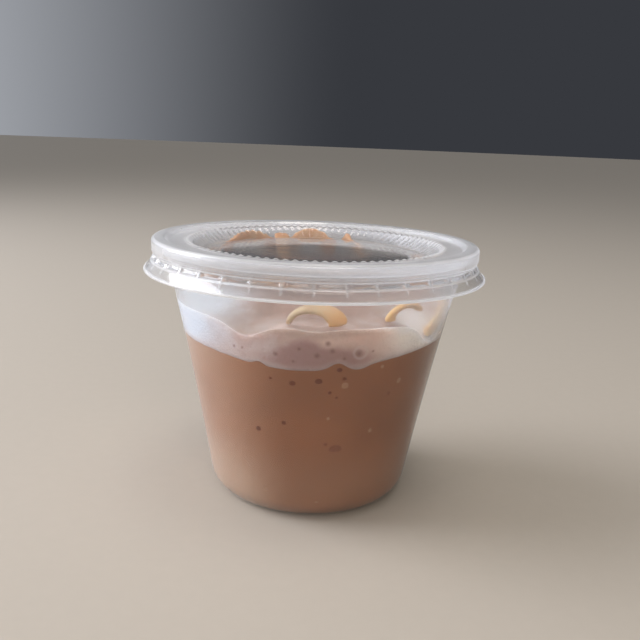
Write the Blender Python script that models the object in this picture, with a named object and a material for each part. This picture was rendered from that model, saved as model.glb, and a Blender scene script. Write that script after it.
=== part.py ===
"""Chocolate pudding with a pale cream layer and shredded topping, in a lidded portion cup.

A thin milky plastic cup, tapered, with a rounded heel and a rolled rim, holds the pudding up
to a wavy line. A pale cream layer lies on it, and shreds of topping stand on the cream. A
clear lid grips the rim: bead, lugs below the rim, flared hem, and a recessed centre.

Metres, +Z up. The origin is the centre of the cup's foot, on the surface that it stands on.
Azimuths are in degrees from the front (-Y), positive towards +X.
"""
import math

import bmesh
import bpy
from mathutils import Vector

# Fit of neighbouring pieces
GAP = 0.0003                # left between two pieces that touch
LAYER_GAP = 0.0004          # the same, upright, between the two wavy layers

# Cup: a thin tapered wall on a ring foot, with a rolled rim
CUP_SHEET = 0.0005          # thickness of its plastic
CUP_FOOT_R = 0.0228         # the wall's straight line carried down to the table
CUP_MOUTH_R = 0.0344        # the same line at the mouth's height
CUP_MOUTH_Z = 0.0570
WALL_BOW = 0.0004           # how far the wall pulls in halfway up
HEEL_R = 0.0058             # round corner between wall and foot
FOOT_RING_W = 0.0020        # flat ring that the cup stands on
FOOT_RECESS = 0.0008        # height of the bottom inside that ring
RIM_ROLL_R = 0.0010         # section radius of the rolled rim
RIM_CENTRE_R = 0.0356
RIM_TOP_Z = 0.0594
CUP_SEGMENTS = 60           # also those of what fills it
HEEL_STEPS = 5
WALL_ROWS = 5

# Lid: one thin clear sheet, pressed over the rim
LID_SHEET = 0.0004
LID_TOP_Z = 0.0601          # top of the bead over the rim
LID_BEAD_R = 0.0375         # outside of the bead
LID_BEAD_W = 0.0029         # its width on top
LID_BEAD_ROUND = 0.0009     # its outer edge
LID_SHELF_DROP = 0.0009     # shelf inside the bead, below the bead's top
LID_RECESS_R = 0.0293       # where the shelf falls to the centre panel
LID_PANEL_R = 0.0256
LID_PANEL_Z = 0.0566
LID_PANEL_STEP = 0.0003     # low round plateau in the middle of the panel
LID_PLATEAU_R = 0.0215
LID_WAIST_Z = 0.0568        # below the bead's wall the skirt steps in
LID_WAIST_IN = 0.0004
HEM_R = 0.0393              # then it flares out to its lower edge
HEM_Z = 0.0527
LUG_COUNT = 38              # dents in the skirt that hold the lid under the rim
LUG_DEPTH = 0.0006
LUG_TOP_Z = 0.0565
LUG_BOTTOM_Z = 0.0551
LUG_COLUMNS = 3             # edges of the skirt's mesh to a lug, one of them not pressed in
LID_SEGMENTS = LUG_COUNT * LUG_COLUMNS // 2

# Layers
LINE_Z = 0.03905            # where pudding and cream meet at the wall
LINE_MIDDLE_Z = 0.0392      # and in the middle of the cup
WARP_FROM_Z = 0.0300        # the pudding is an even body of revolution below this
CREAM_WALL_Z = 0.0462       # top of the cream at the wall
CREAM_MIDDLE_Z = 0.0468

# Waves of the two levels at the wall: azimuth, half width, height
LINE_WAVES = (
    (-6.0, 30.0, -0.0021),
    (-21.0, 2.6, 0.0008),
    (10.2, 4.0, 0.0013),
    (19.0, 5.0, -0.0008),
    (62.0, 26.0, 0.0010),
    (95.0, 22.0, 0.0006),
    (150.0, 26.0, -0.0009),
    (-120.0, 24.0, 0.0007),
)
CREAM_WAVES = (
    (-26.0, 9.0, -0.0027),
    (1.0, 6.0, -0.0006),
    (57.0, 12.5, -0.0050),
    (72.0, 9.0, -0.0022),
    (115.0, 20.0, 0.0005),
    (180.0, 70.0, 0.0030),
    (-95.0, 22.0, 0.0006),
)

# Mounds and dips of the cream: x, y, radius, height
CREAM_MOUNDS = (
    (-0.0120, -0.0100, 0.0080, 0.0010),
    (0.0090, -0.0130, 0.0070, 0.0008),
    (0.0150, 0.0050, 0.0080, 0.0011),
    (-0.0040, 0.0160, 0.0120, 0.0021),
    (0.0218, -0.0150, 0.0065, -0.0010),
)

# Topping: strips about 1.3 mm thick. Each stands along a part of an ellipse, start over middle
# to end, each place an azimuth, radius and height. Then come the degrees of the ellipse that
# it covers, its roll at both ends (0 is flat across the wall, 90 flat along it) and its width
# at both ends, which change most towards its end. The first three lie at the front of the cup,
# and the rest further back.
SHRED_THICK = 0.0013
SHRED_STEPS = 12
SHRED_TURN = 2.2            # how much of its turn a strip keeps for its end: 1 is an even turn
SHREDS = (
    ((-9.2, 0.0298, 0.0465), (0.0, 0.0295, 0.0499), (9.8, 0.0304, 0.0466),
     178.0, (0.0, 86.0), (0.0024, 0.0050)),
    ((52.0, 0.0290, 0.0479), (38.5, 0.0297, 0.0498), (31.6, 0.0298, 0.0469),
     130.0, (8.0, 82.0), (0.0018, 0.0042)),
    ((56.5, 0.0291, 0.0424), (67.5, 0.0297, 0.0443), (79.0, 0.0304, 0.0476),
     90.0, (82.0, 96.0), (0.0024, 0.0028)),
    ((-158.5, 0.0296, 0.0507), (-145.0, 0.0312, 0.0561), (-130.0, 0.0294, 0.0501),
     145.0, (75.0, 96.0), (0.0040, 0.0046)),
    ((-158.0, 0.0210, 0.0501), (-161.0, 0.0265, 0.0532), (-162.5, 0.0310, 0.0570),
     90.0, (80.0, 88.0), (0.0034, 0.0046)),
    ((-167.0, 0.0296, 0.0510), (-177.5, 0.0312, 0.0562), (172.0, 0.0294, 0.0508),
     145.0, (96.0, 74.0), (0.0046, 0.0042)),
    ((140.0, 0.0235, 0.0486), (154.0, 0.0262, 0.0524), (166.0, 0.0309, 0.0566),
     95.0, (20.0, 84.0), (0.0034, 0.0042)),
    ((-123.0, 0.0285, 0.0491), (-110.0, 0.0278, 0.0532), (-97.0, 0.0250, 0.0481),
     130.0, (62.0, 35.0), (0.0036, 0.0042)),
    ((99.0, 0.0262, 0.0483), (112.0, 0.0292, 0.0526), (127.0, 0.0290, 0.0492),
     125.0, (60.0, 92.0), (0.0034, 0.0042)),
    ((-118.0, 0.0150, 0.0484), (-147.0, 0.0150, 0.0508), (-178.0, 0.0110, 0.0494),
     100.0, (20.0, 5.0), (0.0034, 0.0040)),
)


def clear_scene():
    for old in list(bpy.data.objects):
        bpy.data.objects.remove(old, do_unlink=True)


def arc(centre_r, centre_z, radius, start, end, steps):
    """Points (r, z) of a round stretch of a profile, angles in degrees."""
    points = []
    for i in range(steps + 1):
        angle = math.radians(start + (end - start) * i / steps)
        points.append((centre_r + radius * math.cos(angle), centre_z + radius * math.sin(angle)))
    return points


def spaced(low, high, count):
    """Values from low to high, without low itself."""
    return [low + (high - low) * (i + 1) / count for i in range(count)]


def bell(offset, half_width):
    """A smooth bump of height 1 around 0."""
    return math.exp(-((offset / half_width) ** 2))


def wave_sum(azimuth, waves):
    """Height that the waves add at an azimuth, which wraps round at the back."""
    total = 0.0
    for centre, half_width, height in waves:
        offset = (azimuth - centre + 180.0) % 360.0 - 180.0
        total += height * bell(offset, half_width)
    return total


def turned(profile, segments):
    """Closed bmesh turned about Z from a profile that starts and ends on the axis."""
    bm = bmesh.new()
    ring = [bm.verts.new((0.0, -r, z)) for r, z in profile]
    edges = [bm.edges.new(pair) for pair in zip(ring, ring[1:])]
    bmesh.ops.spin(
        bm, geom=ring + edges, cent=(0, 0, 0), axis=(0, 0, 1),
        angle=math.tau, steps=segments, use_merge=True,
    )
    bmesh.ops.remove_doubles(bm, verts=bm.verts, dist=1e-6)
    return bm


def move_points(bm, place):
    """Moves each point by place, from radius, height and azimuth to radius and height."""
    for vert in bm.verts:
        radius = math.hypot(vert.co.x, vert.co.y)
        azimuth = math.atan2(vert.co.x, -vert.co.y)
        radius, vert.co.z = place(radius, vert.co.z, math.degrees(azimuth))
        vert.co.x = radius * math.sin(azimuth)
        vert.co.y = -radius * math.cos(azimuth)


def finished(name, bm):
    """Object from a closed bmesh, its faces outward, shaded smooth with sharp corners kept."""
    bmesh.ops.recalc_face_normals(bm, faces=bm.faces)
    mesh = bpy.data.meshes.new(name)
    bm.to_mesh(mesh)
    bm.free()
    mesh.shade_smooth()
    mesh.set_sharp_from_angle(angle=math.radians(40))
    item = bpy.data.objects.new(name, mesh)
    bpy.context.collection.objects.link(item)
    return item


def give_material(item, name, colour, roughness, alpha=1.0):
    """Principled material, shared by the objects that name it."""
    material = bpy.data.materials.get(name)
    if material is None:
        material = bpy.data.materials.new(name)
        material.use_nodes = True
        shader = material.node_tree.nodes["Principled BSDF"]
        shader.inputs["Base Color"].default_value = (*colour, 1.0)
        shader.inputs["Roughness"].default_value = roughness
        shader.inputs["Metallic"].default_value = 0.0
        shader.inputs["Alpha"].default_value = alpha
        material.diffuse_color = (*colour, alpha)
    item.data.materials.append(material)


# ------------------------------------------------------------------ cup

WALL_TAPER = (CUP_MOUTH_R - CUP_FOOT_R) / CUP_MOUTH_Z
TAPER_ANGLE = math.degrees(math.atan(WALL_TAPER))
HEEL_CENTRE_R = CUP_FOOT_R + WALL_TAPER * HEEL_R - HEEL_R / math.cos(math.radians(TAPER_ANGLE))


def wall_radius(z):
    """Outer radius of the cup's wall, which pulls in slightly halfway up."""
    along = (z - HEEL_R) / (CUP_MOUTH_Z - HEEL_R)
    return CUP_FOOT_R + WALL_TAPER * z - WALL_BOW * 4.0 * along * (1.0 - along)


def shell(inset, top_z, rows):
    """Profile of the cup's outside moved in by inset: bottom, foot, heel and wall."""
    foot_out = HEEL_CENTRE_R
    foot_in = foot_out - FOOT_RING_W
    recess_r = foot_in - FOOT_RECESS
    bottom = [(0.0, FOOT_RECESS + inset), (recess_r, FOOT_RECESS + inset), (foot_in, inset)]
    heel = arc(HEEL_CENTRE_R, HEEL_R, HEEL_R - inset, -90.0, -TAPER_ANGLE, HEEL_STEPS)
    wall = [(wall_radius(z) - inset, z) for z in spaced(heel[-1][1], top_z, rows)]
    return bottom + heel + wall


def make_cup():
    outside = shell(0.0, RIM_TOP_Z - 2.4 * RIM_ROLL_R, WALL_ROWS)
    roll = arc(RIM_CENTRE_R, RIM_TOP_Z - RIM_ROLL_R, RIM_ROLL_R, -130.0, 150.0, 7)
    inside = shell(CUP_SHEET, RIM_TOP_Z - 1.5 * RIM_ROLL_R, WALL_ROWS)
    cup = finished("cup", turned(outside + roll + inside[::-1], CUP_SEGMENTS))
    give_material(cup, "milky_plastic", (0.80, 0.80, 0.84), 0.28, alpha=0.45)


# ------------------------------------------------------------------ lid

def skirt_radius(z):
    """Outer radius of the lid's skirt, which curves out from the waist to the hem."""
    fall = (LID_WAIST_Z - z) / (LID_WAIST_Z - HEM_Z)
    waist_r = LID_BEAD_R - LID_WAIST_IN
    return waist_r + (HEM_R - waist_r) * fall ** 1.5


def lid_profile(inset, panel, bead_steps):
    """Profile of the lid's upper and outer side moved in by inset, from panel to hem."""
    bead_in = LID_BEAD_R - LID_BEAD_W
    shelf_z = LID_TOP_Z - LID_SHELF_DROP - inset
    shelf = [
        (LID_PANEL_R + 0.4 * inset, LID_PANEL_Z - inset),
        (LID_RECESS_R + 0.4 * inset, shelf_z),
        (bead_in - LID_SHELF_DROP + inset, shelf_z),
        (bead_in + inset, LID_TOP_Z - inset),
    ]
    bead = arc(
        LID_BEAD_R - LID_BEAD_ROUND, LID_TOP_Z - LID_BEAD_ROUND, LID_BEAD_ROUND - inset,
        90.0, 0.0, bead_steps,
    )
    foot = [(LID_BEAD_R - inset, LID_WAIST_Z + LID_WAIST_IN)]
    lug_edge = 0.3 * LUG_DEPTH
    levels = [
        LID_WAIST_Z, LUG_TOP_Z, LUG_TOP_Z - lug_edge, LUG_BOTTOM_Z + lug_edge, LUG_BOTTOM_Z,
        (LUG_BOTTOM_Z + HEM_Z) / 2.0, HEM_Z,
    ]
    skirt = [(skirt_radius(z) - inset, z) for z in levels]
    return panel + shelf + bead + foot + skirt


def split_skirt(bm):
    """Halves the skirt's level edges between the lugs' top and bottom."""
    level = [
        edge for edge in bm.edges
        if all(LUG_BOTTOM_Z - 1e-6 < v.co.z < LUG_TOP_Z + 1e-6 for v in edge.verts)
        and abs(edge.verts[0].co.z - edge.verts[1].co.z) < 1e-6
        and math.hypot(*edge.verts[0].co.xy) > LID_BEAD_R - LID_BEAD_W
    ]
    bmesh.ops.subdivide_edges(bm, edges=level, cuts=1, use_grid_fill=True)


def lug_dents(radius, z, azimuth):
    """Presses the skirt in at each lug, and leaves a narrow rib between two lugs."""
    column = round(azimuth % 360.0 / 360.0 * LUG_COUNT * LUG_COLUMNS) % LUG_COLUMNS
    pressed = LUG_BOTTOM_Z + 1e-5 < z < LUG_TOP_Z - 1e-5 and radius > LID_BEAD_R - LID_BEAD_W
    if pressed and column:
        radius -= LUG_DEPTH
    return radius, z


def make_lid():
    plateau_z = LID_PANEL_Z + LID_PANEL_STEP
    plateau = [
        (0.0, plateau_z), (LID_PLATEAU_R, plateau_z),
        (LID_PLATEAU_R + LID_PANEL_STEP, LID_PANEL_Z),
    ]
    upper = lid_profile(0.0, plateau, 3)
    lower = lid_profile(LID_SHEET, [(0.0, LID_PANEL_Z - LID_SHEET)], 2)
    bm = turned(upper + lower[::-1], LID_SEGMENTS)
    split_skirt(bm)
    move_points(bm, lug_dents)
    lid = finished("lid", bm)
    give_material(lid, "clear_plastic", (0.86, 0.88, 0.92), 0.12, alpha=0.35)


# ------------------------------------------------------------------ pudding and cream

FILL_INSET = CUP_SHEET + GAP


def line_height(share, azimuth):
    """Height of the pudding's top, share being the way from the axis to the wall."""
    at_wall = LINE_Z + wave_sum(azimuth, LINE_WAVES)
    return LINE_MIDDLE_Z + (at_wall - LINE_MIDDLE_Z) * share ** 3


def cream_height(share, azimuth):
    """Height of the cream's top: level at the middle, waves at the wall, mounds between."""
    at_wall = CREAM_WALL_Z + wave_sum(azimuth, CREAM_WAVES)
    height = CREAM_MIDDLE_Z + (at_wall - CREAM_MIDDLE_Z) * share ** 4
    radius = share * (wall_radius(height) - FILL_INSET)
    x = radius * math.sin(math.radians(azimuth))
    y = -radius * math.cos(math.radians(azimuth))
    for mound_x, mound_y, width, rise in CREAM_MOUNDS:
        height += rise * bell(math.hypot(x - mound_x, y - mound_y), width)
    return height


def make_pudding():
    body = shell(FILL_INSET, WARP_FROM_Z, 3)
    wall_r = body[-1][0]
    rise = LINE_Z - WARP_FROM_Z
    side = [(wall_r, WARP_FROM_Z + share * rise) for share in (0.35, 0.7, 1.0)]
    top = [(share * wall_r, LINE_Z) for share in (0.93, 0.75, 0.4, 0.0)]

    def place(radius, z, azimuth):
        """Lifts what is above the even body to the wavy line, and out to the wall."""
        if z <= WARP_FROM_Z + 1e-6:
            return radius, z
        share = radius / wall_r
        lifted = WARP_FROM_Z + (z - WARP_FROM_Z) / rise * (line_height(share, azimuth) - WARP_FROM_Z)
        return share * (wall_radius(lifted) - FILL_INSET), lifted

    bm = turned(body + side + top, CUP_SEGMENTS)
    move_points(bm, place)
    pudding = finished("pudding", bm)
    give_material(pudding, "chocolate_pudding", (0.20, 0.085, 0.045), 0.45)


def make_cream():
    shares = (0.0, 0.4, 0.75, 0.93, 1.0)
    underside = [(share, 0.0) for share in shares]
    side = [(1.0, 0.5)]
    top = [(share, 1.0) for share in (1.0, 0.93, 0.8, 0.6, 0.4, 0.2, 0.0)]

    def place(share, level, azimuth):
        """Level 0 is the pudding's top, and level 1 the cream's own top."""
        low = line_height(share, azimuth) + LAYER_GAP
        z = low + level * (cream_height(share, azimuth) - low)
        return share * (wall_radius(z) - FILL_INSET), z

    bm = turned(underside + side + top, CUP_SEGMENTS)
    move_points(bm, place)
    cream = finished("cream", bm)
    give_material(cream, "pale_cream", (0.48, 0.37, 0.35), 0.55)


# ------------------------------------------------------------------ topping

def around(azimuth, radius, z):
    """Point at an azimuth, radius and height."""
    angle = math.radians(azimuth)
    return Vector((radius * math.sin(angle), -radius * math.cos(angle), z))


def shred_path(start, middle, end, sweep, steps):
    """Points of a part of an ellipse from start over middle to end."""
    a, m, b = around(*start), around(*middle), around(*end)
    centre = (a + b) / 2.0
    low = math.radians((180.0 - sweep) / 2.0)
    points = []
    for i in range(steps + 1):
        angle = low + (math.pi - 2.0 * low) * i / steps
        across = -math.cos(angle) / math.cos(low)
        up = (math.sin(angle) - math.sin(low)) / (1.0 - math.sin(low))
        points.append(centre + across * (b - a) / 2.0 + up * (m - centre))
    return points


SHRED_SECTION = ((1.0, 0.0), (0.7, 1.0), (-0.7, 1.0), (-1.0, 0.0), (-0.7, -1.0), (0.7, -1.0))


def make_shred(number, start, middle, end, sweep, rolls, widths):
    """One strip: a flat six-sided section carried along its path, narrower at both tips."""
    path = shred_path(start, middle, end, sweep, SHRED_STEPS)
    bm = bmesh.new()
    rings = []
    for i, centre in enumerate(path):
        share = i / SHRED_STEPS
        ahead = path[min(i + 1, SHRED_STEPS)] - path[max(i - 1, 0)]
        along = ahead.normalized()
        outward = Vector((centre.x, centre.y, 0.0))
        outward = (outward - outward.dot(along) * along).normalized()
        across = along.cross(outward)
        turn = share ** SHRED_TURN
        roll = math.radians(rolls[0] + (rolls[1] - rolls[0]) * turn)
        flat = outward * math.cos(roll) + across * math.sin(roll)
        thick = across * math.cos(roll) - outward * math.sin(roll)
        tip = 1.0 - 0.45 * abs(2.0 * share - 1.0) ** 6
        wide = flat * (0.5 * tip * (widths[0] + (widths[1] - widths[0]) * turn))
        deep = thick * (0.5 * tip * SHRED_THICK)
        rings.append([bm.verts.new(centre + wide * u + deep * v) for u, v in SHRED_SECTION])
    for near, far in zip(rings, rings[1:]):
        for j in range(len(near)):
            k = (j + 1) % len(near)
            bm.faces.new((near[j], near[k], far[k], far[j]))
    bm.faces.new(rings[0][::-1])
    bm.faces.new(rings[-1])
    shred = finished(f"shred_{number}", bm)
    give_material(shred, "yellow_shred", (0.60, 0.38, 0.18), 0.50)


clear_scene()
make_cup()
make_lid()
make_pudding()
make_cream()
for number, row in enumerate(SHREDS, start=1):
    make_shred(number, *row)
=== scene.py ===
"""Chocolate pudding with a cream layer and shredded topping, in a lidded portion cup.

Metres, +Z up, origin at the centre of the cup's foot. Azimuths are degrees from the front (-Y),
positive towards +X. The sections follow the order in which such a cup is made, filled and shut.
"""
import math
import random

import bmesh
import bpy
from mathutils import Matrix, Vector, noise


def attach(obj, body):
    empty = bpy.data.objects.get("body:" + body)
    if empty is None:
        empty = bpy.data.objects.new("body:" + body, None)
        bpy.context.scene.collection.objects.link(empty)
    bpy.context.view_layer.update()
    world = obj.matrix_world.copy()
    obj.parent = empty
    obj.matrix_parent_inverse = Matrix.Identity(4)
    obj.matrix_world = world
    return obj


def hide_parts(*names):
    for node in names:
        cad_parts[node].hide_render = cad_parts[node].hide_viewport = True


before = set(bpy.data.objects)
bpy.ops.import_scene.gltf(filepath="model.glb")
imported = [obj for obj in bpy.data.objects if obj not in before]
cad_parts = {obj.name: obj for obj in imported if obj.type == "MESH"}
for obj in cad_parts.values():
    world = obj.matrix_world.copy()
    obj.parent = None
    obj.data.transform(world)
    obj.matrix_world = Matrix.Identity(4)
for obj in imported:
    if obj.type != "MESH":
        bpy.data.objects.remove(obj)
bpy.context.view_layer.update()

# ---------------------------------------------------------------------- Cup
# Portion cup of polypropylene sheet, thermoformed in one piece: tapered wall, rounded heel,
# flat ring foot round a slightly raised bottom. Its lip is rolled outwards, which stiffens the
# mouth and gives the lid something to grip.

CUP_SHEET = 0.0005
FOOT_R = 0.0228             # the wall's straight line carried down to the table
MOUTH_R = 0.0344
MOUTH_Z = 0.0570
WALL_BOW = 0.0004           # the wall pulls in by this much halfway up
HEEL_R = 0.0058
FOOT_RING_W = 0.0020
FOOT_RECESS = 0.0008
RIM_ROLL_R = 0.0010
RIM_ROLL_ARC = (-130.0, 150.0)
RIM_CENTRE_R = 0.0356
RIM_TOP_Z = 0.0594
CUP_COLUMNS = 256
HEEL_STEPS = 14
WALL_ROWS = 20

CUP_MILK = "#EBECEE"        # the sheet's own cloud, nearly white
CUP_DEPTH = 0.03            # how much of the light the cloud in one face of the sheet stops
LIP_DEPTH = 0.30            # the same where the sheet is rolled up on itself
ONWARD = 0.6                # share of the stopped light that goes on through the sheet
FOG = (
    # azimuth, half width, z where it starts and is full, strength
    (60.0, 20.0, 0.0430, 0.0500, 0.09),
)
SLANT_LIMIT = 0.06          # beyond this slant, sight has no further to go in a sheet
SHADOW_TINT = "#EDEEF0"     # what light keeps of its colour on its way through a sheet
DRAW_LINE = 0.0018          # width of the streaks that drawing leaves, all of them upright
DRAW_STRETCH = 0.06         # their width as a share of their length
ORANGE_PEEL = 0.0012        # size of the surface's faint dimples

TAPER = (MOUTH_R - FOOT_R) / MOUTH_Z
TAPER_ANGLE = math.degrees(math.atan(TAPER))
HEEL_CENTRE_R = FOOT_R + TAPER * HEEL_R - HEEL_R / math.cos(math.radians(TAPER_ANGLE))


def tone(code):
    """Linear colour from an sRGB hex code."""
    channels = [int(code[i:i + 2], 16) / 255.0 for i in (1, 3, 5)]
    linear = [c / 12.92 if c <= 0.04045 else ((c + 0.055) / 1.055) ** 2.4 for c in channels]
    return (*linear, 1.0)


def add(tree, kind, inputs=None, **settings):
    """Adds a node. An input is a number or colour, or the output of another node."""
    item = tree.nodes.new(kind)
    for name, value in settings.items():
        setattr(item, name, value)
    for socket, value in (inputs or {}).items():
        if isinstance(value, bpy.types.NodeSocket):
            tree.links.new(value, item.inputs[socket])
        else:
            item.inputs[socket].default_value = value
    return item


def blank(name):
    """New material with an empty node tree, and the place on the piece in metres."""
    material = bpy.data.materials.new(name)
    material.use_nodes = True
    tree = material.node_tree
    tree.nodes.clear()
    return material, tree, add(tree, "ShaderNodeTexCoord").outputs["Object"]


def cloud(tree, depth):
    """Share of light that gets past the cloud in a sheet. At a slant it has further to go."""
    facing = add(tree, "ShaderNodeLayerWeight", {"Blend": 0.5}).outputs["Facing"]
    straight = add(tree, "ShaderNodeMath", {0: 1.0, 1: facing}, operation="SUBTRACT").outputs[0]
    slant = add(
        tree, "ShaderNodeMath", {0: straight, 1: SLANT_LIMIT}, operation="MAXIMUM"
    ).outputs[0]
    path = add(tree, "ShaderNodeMath", {0: depth, 1: slant}, operation="DIVIDE").outputs[0]
    return add(tree, "ShaderNodeMath", {0: math.exp(-1), 1: path}, operation="POWER").outputs[0]


def cloudy_sheet(tree, colour, roughness, depth, normal):
    """Plastic sheet: it bends what is seen through it, its cloud sends light back and onwards,
    and it casts only a faint shadow."""
    clear = cloud(tree, depth)
    gloss = add(tree, "ShaderNodeBsdfPrincipled", {
        "Base Color": tone(colour), "Roughness": roughness, "IOR": 1.49,
        "Transmission Weight": clear, "Normal": normal,
    })
    onward = add(tree, "ShaderNodeBsdfTranslucent", {"Color": tone(colour)})
    share = add(tree, "ShaderNodeMapRange", {"Value": clear, "To Min": ONWARD, "To Max": 0.0})
    glow = add(tree, "ShaderNodeMixShader", {
        0: share.outputs[0], 1: gloss.outputs[0], 2: onward.outputs[0],
    })
    shadow = add(tree, "ShaderNodeLightPath").outputs["Is Shadow Ray"]
    faint = add(tree, "ShaderNodeBsdfTransparent", {"Color": tone(SHADOW_TINT)})
    surface = add(
        tree, "ShaderNodeMixShader", {0: shadow, 1: glow.outputs[0], 2: faint.outputs[0]}
    )
    add(tree, "ShaderNodeOutputMaterial", {"Surface": surface.outputs[0]})


def ramp(value, low, high):
    """0 below low, 1 above high, and smooth between."""
    t = min(max((value - low) / (high - low), 0.0), 1.0)
    return t * t * (3.0 - 2.0 * t)


def mark(piece, name, amount):
    """Stores a number at each point of a piece, from its radius, height and azimuth."""
    stored = piece.data.attributes.new(name, "FLOAT", "POINT")
    for vert in piece.data.vertices:
        radius, azimuth = math.hypot(*vert.co.xy), math.atan2(vert.co.x, -vert.co.y)
        stored.data[vert.index].value = amount(radius, vert.co.z, math.degrees(azimuth))


def thermoformed_polypropylene():
    """Cloudy sheet: what lies against it shows soft and paled, most at the sides, where the
    line of sight runs along the sheet; soft gloss, broken by upright draw lines."""
    material, tree, place = blank("thermoformed_cloudy_polypropylene")
    upright = add(
        tree, "ShaderNodeVectorMath", {0: place, 1: (1.0, 1.0, DRAW_STRETCH)},
        operation="MULTIPLY",
    ).outputs[0]
    lines = add(
        tree, "ShaderNodeTexNoise", {"Vector": upright, "Scale": 1 / DRAW_LINE, "Detail": 3.0}
    ).outputs["Fac"]
    cloudy = add(tree, "ShaderNodeAttribute", attribute_name="cloudiness").outputs["Fac"]
    depth = add(tree, "ShaderNodeMapRange", {
        "Value": cloudy, "To Min": CUP_DEPTH, "To Max": LIP_DEPTH,
    }).outputs[0]
    rough = add(tree, "ShaderNodeMapRange", {
        "Value": lines, "From Min": 0.3, "From Max": 0.7, "To Min": 0.11, "To Max": 0.15,
    }).outputs[0]
    dimples = add(
        tree, "ShaderNodeTexNoise", {"Vector": place, "Scale": 1 / ORANGE_PEEL, "Detail": 1.0}
    ).outputs["Fac"]
    bump = add(tree, "ShaderNodeBump", {"Height": dimples, "Strength": 0.06, "Distance": 0.0002})
    cloudy_sheet(tree, CUP_MILK, rough, depth, bump.outputs[0])
    return material


def arc(centre_r, centre_z, radius, start, end, steps):
    """Points (r, z) of a round stretch of a profile, angles in degrees."""
    angles = [math.radians(start + (end - start) * i / steps) for i in range(steps + 1)]
    return [(centre_r + radius * math.cos(a), centre_z + radius * math.sin(a)) for a in angles]


def spaced(low, high, count):
    """Values from low to high, without low itself."""
    return [low + (high - low) * (i + 1) / count for i in range(count)]


def wall_radius(z):
    """Outer radius of the cup's wall, which pulls in slightly halfway up."""
    along = (z - HEEL_R) / (MOUTH_Z - HEEL_R)
    return FOOT_R + TAPER * z - WALL_BOW * 4.0 * along * (1.0 - along)


def shell(inset, top_z, heel_steps, rows):
    """Profile of the cup's outside moved in by inset: bottom, foot, heel and wall."""
    foot_in = HEEL_CENTRE_R - FOOT_RING_W
    bottom = [
        (0.0, FOOT_RECESS + inset), (0.5 * foot_in, FOOT_RECESS + inset),
        (foot_in - FOOT_RECESS, FOOT_RECESS + inset), (foot_in, inset),
    ]
    heel = arc(HEEL_CENTRE_R, HEEL_R, HEEL_R - inset, -90.0, -TAPER_ANGLE, heel_steps)
    wall = [(wall_radius(z) - inset, z) for z in spaced(heel[-1][1], top_z, rows)]
    return bottom + heel + wall


def eased(points, radius, steps=3):
    """The same outline with its corners rounded over the given length."""
    outline = [points[0]]
    for before, corner, after in zip(points, points[1:], points[2:]):
        here, back, on = Vector(corner), Vector(before), Vector(after)
        start = here + (back - here).normalized() * min(radius, 0.45 * (back - here).length)
        end = here + (on - here).normalized() * min(radius, 0.45 * (on - here).length)
        for i in range(steps + 1):
            t = i / steps
            outline.append(tuple(start * (1 - t) ** 2 + here * 2 * t * (1 - t) + end * t * t))
    return outline + [points[-1]]


def finish_mesh(name, bm, *materials, sharp=45.0):
    """Object from a closed bmesh, its faces outward, shaded smooth with sharp corners kept."""
    bmesh.ops.recalc_face_normals(bm, faces=bm.faces)
    mesh = bpy.data.meshes.new(name)
    bm.to_mesh(mesh)
    bm.free()
    mesh.shade_smooth()
    mesh.set_sharp_from_angle(angle=math.radians(sharp))
    for material in materials:
        mesh.materials.append(material)
    piece = bpy.data.objects.new(name, mesh)
    bpy.context.scene.collection.objects.link(piece)
    return piece


def turned(profile, columns, place=None):
    """Closed bmesh turned about the cup's axis. Place may move a point, from its radius,
    height and azimuth in degrees to a radius and height."""
    bm = bmesh.new()
    rings = []
    for radius, z in profile:
        count = 1 if radius < 1e-7 else columns
        ring = []
        for i in range(count):
            azimuth = 360.0 * i / columns
            r, height = place(radius, z, azimuth) if place else (radius, z)
            angle = math.radians(azimuth)
            ring.append(bm.verts.new((r * math.sin(angle), -r * math.cos(angle), height)))
        rings.append(ring)
    for near, far in zip(rings, rings[1:]):
        for i in range(columns):
            k = (i + 1) % columns
            corners = (
                near[i % len(near)], near[k % len(near)], far[k % len(far)], far[i % len(far)]
            )
            bm.faces.new(list(dict.fromkeys(corners)))
    return bm


def cloudiness(radius, z, azimuth):
    """How cloudy the sheet is: fully where it is rolled up at the lip, and a little where fog
    settled inside it, over what fills the cup."""
    fog = 0.0
    for centre, half_width, low, high, strength in FOG:
        aside = ramp(abs(azimuth - centre), 0.5 * half_width, 1.5 * half_width)
        fog = max(fog, strength * (1.0 - aside) * ramp(z, low, high))
    return max(fog, ramp(z, MOUTH_Z - 0.0002, MOUTH_Z + 0.0006))


def make_cup():
    """The sheet's outer side, the roll of its lip, and back down its inner side."""
    outside = shell(0.0, RIM_TOP_Z - 2.4 * RIM_ROLL_R, HEEL_STEPS, WALL_ROWS)
    roll = arc(RIM_CENTRE_R, RIM_TOP_Z - RIM_ROLL_R, RIM_ROLL_R, *RIM_ROLL_ARC, 16)
    inside = shell(CUP_SHEET, RIM_TOP_Z - 1.5 * RIM_ROLL_R, HEEL_STEPS, WALL_ROWS)
    bm = turned(outside + roll + inside[::-1], CUP_COLUMNS)
    piece = finish_mesh("formed_cup", bm, thermoformed_polypropylene())
    mark(piece, "cloudiness", cloudiness)
    return piece


cup = make_cup()
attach(cup, "root")
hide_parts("cup")

# ------------------------------------------------------------------ Pudding
# Chocolate pudding, poured into the cup while it was still soft. It lies against the plastic
# everywhere but for the air that it caught: pits at the wall, the dark ones coloured with painted
# shade, the paler ones with a painted glint. The pudding is also painted paler on the left, at
# the foot and round the back, as painted light.

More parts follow.
